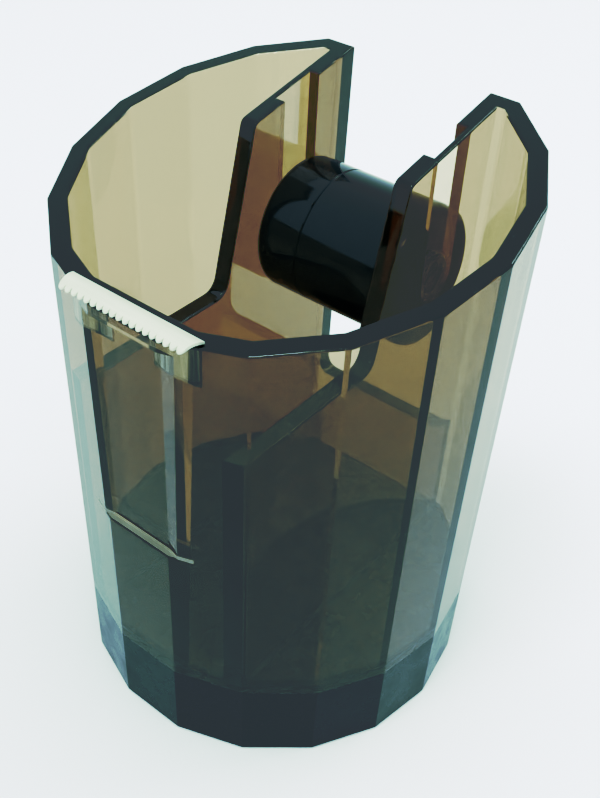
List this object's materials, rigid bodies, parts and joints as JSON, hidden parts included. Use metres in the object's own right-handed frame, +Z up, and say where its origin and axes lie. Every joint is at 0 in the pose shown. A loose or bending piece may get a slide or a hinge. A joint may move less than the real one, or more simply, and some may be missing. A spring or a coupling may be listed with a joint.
{
  "type": "tape dispenser",
  "caption": "Faceted clear cup with a sloping rim that stores pens on both sides and holds a tape roll on a lift-out hub behind a toothed cutter on a heavy base.",
  "frame": {"origin": "centre of the underside of the non-slip pad, on the table, on the axis of the faceted body", "axes": "+Z up along the body axis, -Y toward the cutting blade at the front, +X to the right of a user facing the blade from the front, along the hub axis"},
  "size_m": [0.078, 0.0729, 0.107],
  "materials": {
    "clear_smoke_plastic": "clear brown-grey tinted, polished",
    "dark_base_plastic": "near-black navy, satin",
    "cover_plastic": "fine texture",
    "foam_pad": "soft foam",
    "nonslip_rubber": "matt",
    "blade_steel": "bright satin",
    "ballast_steel": "mill finish",
    "screw_steel": "plated",
    "axle_plastic": "satin black",
    "hub_plastic": "polished black"
  },
  "bodies": {
    "cup": {"cup_body": "clear_smoke_plastic", "base_shell": "dark_base_plastic", "bottom_cover": "cover_plastic", "ballast_foam": "foam_pad", "nonslip_pad": "nonslip_rubber", "cutter_blade": "blade_steel", "ballast_plate_1": "ballast_steel", "ballast_plate_2": "ballast_steel", "ballast_plate_3": "ballast_steel", "cover_screw_1": "screw_steel", "cover_screw_2": "screw_steel", "cover_screw_3": "screw_steel", "cover_screw_4": "screw_steel"},
    "axle": {"hub_axle": "axle_plastic"},
    "hub": {"hub_left_half": "hub_plastic", "hub_right_half": "hub_plastic"}
  },
  "joints": [
    {"name": "hub_lift", "type": "slide", "parent": "cup", "child": "axle", "axis": [0, 0, 1], "range_m": [0, 0.045]},
    {"name": "hub_spin", "type": "hinge", "parent": "axle", "child": "hub", "pos_m": [0, 0.0191, 0.0785], "axis": [1, 0, 0], "continuous": true}
  ]
}
